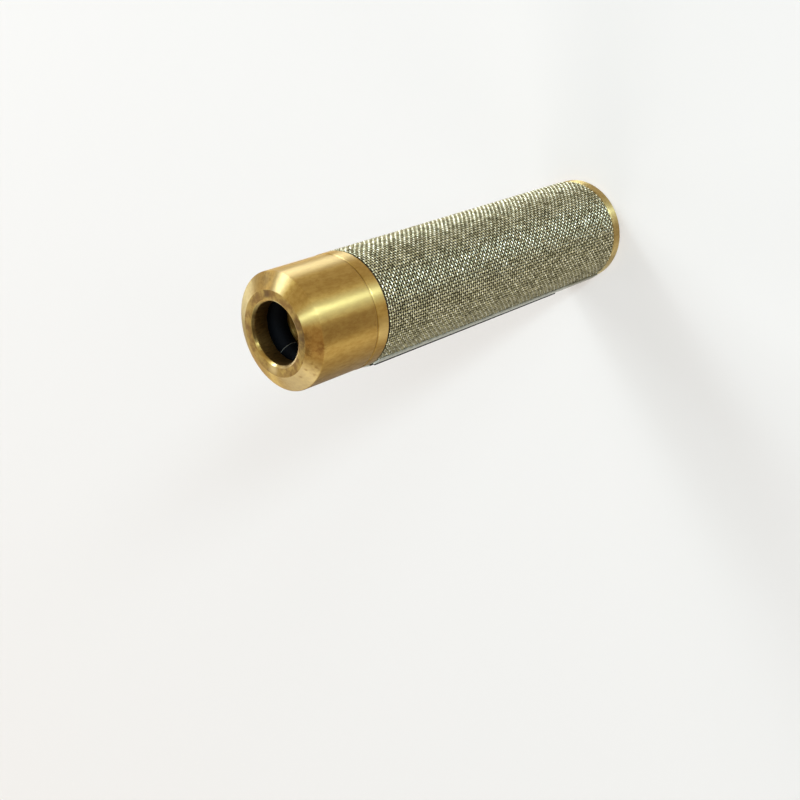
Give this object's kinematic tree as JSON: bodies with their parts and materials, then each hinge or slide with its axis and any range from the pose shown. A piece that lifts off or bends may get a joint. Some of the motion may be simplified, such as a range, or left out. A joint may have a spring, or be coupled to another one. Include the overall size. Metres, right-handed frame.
{
  "type": "servo valve filter element",
  "caption": "Tubular filter element: woven stainless wire sleeve between a turned brass head with a sealed bore and a closed brass end cap.",
  "frame": {"origin": "middle of the end cap's flat face, which the part stands on", "axes": "+Z along the tube's axis, from the closed cap up to the open head; the lap seam of the mesh is on the -X side"},
  "size_m": [0.0153, 0.0152, 0.0617],
  "materials": {
    "brass": "turned, lightly stained",
    "seal_rubber": "satin black",
    "stainless_mesh": "woven wire, plain square weave",
    "seam_metal": "smooth soldered lap",
    "filter_steel": "fine woven filter cloth",
    "core_steel": "slotted tube",
    "bond": "set bonding compound"
  },
  "bodies": {
    "root": {"head_fitting": "brass", "bore_seal_ring": "seal_rubber", "end_cap": "brass", "mesh_sleeve": "stainless_mesh", "lap_seam": "seam_metal", "filter_cloth": "filter_steel", "support_core": "core_steel", "head_bond": "bond", "cap_bond": "bond"}
  },
  "joints": []
}
